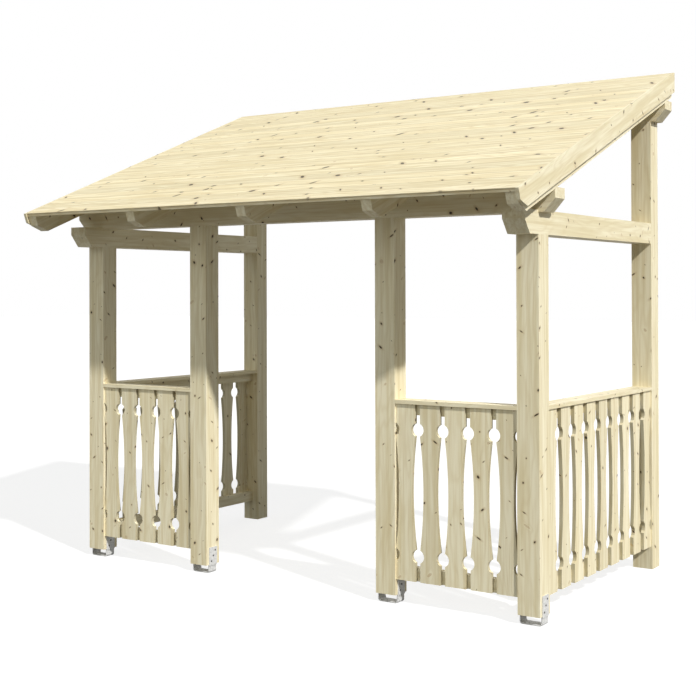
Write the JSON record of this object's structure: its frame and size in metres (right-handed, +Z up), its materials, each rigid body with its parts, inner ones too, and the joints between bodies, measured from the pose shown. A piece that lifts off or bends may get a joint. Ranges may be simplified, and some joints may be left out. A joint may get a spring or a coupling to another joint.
{
  "type": "wooden door canopy",
  "caption": "Open wooden door canopy with a lean-to board roof on square posts, a doorway between sawn baluster panels, capped side balustrades and bent steel post anchors.",
  "frame": {"origin": "middle of the width and depth, on the ground", "axes": "+Z up, +Y from the front towards the house wall, +X to the right seen from the front"},
  "size_m": [3.266, 2.1952, 2.972],
  "materials": {
    "timber": "satin",
    "boards": "satin",
    "zinc": "satin"
  },
  "bodies": {
    "root": {"front_post_left": "timber", "front_post_middle_left": "timber", "front_post_middle_right": "timber", "front_post_right": "timber", "rear_post_left": "timber", "rear_post_right": "timber", "side_beam_left": "timber", "side_beam_right": "timber", "front_purlin": "timber", "rear_purlin": "timber", "rafter_1": "timber", "rafter_2": "timber", "rafter_3": "timber", "rafter_4": "timber", "rafter_5": "timber", "barge_board_left": "timber", "barge_board_right": "timber", "front_left_cap": "timber", "front_left_top_rail": "timber", "front_left_bottom_rail": "timber", "front_left_balusters": "boards", "front_right_cap": "timber", "front_right_top_rail": "timber", "front_right_bottom_rail": "timber", "front_right_balusters": "boards", "side_left_cap": "timber", "side_left_top_rail": "timber", "side_left_bottom_rail": "timber", "side_left_balusters": "boards", "side_right_cap": "timber", "side_right_top_rail": "timber", "side_right_bottom_rail": "timber", "side_right_balusters": "boards", "roof_deck": "boards", "anchor_left": "zinc", "anchor_middle_left": "zinc", "anchor_middle_right": "zinc", "anchor_right": "zinc"}
  },
  "joints": []
}
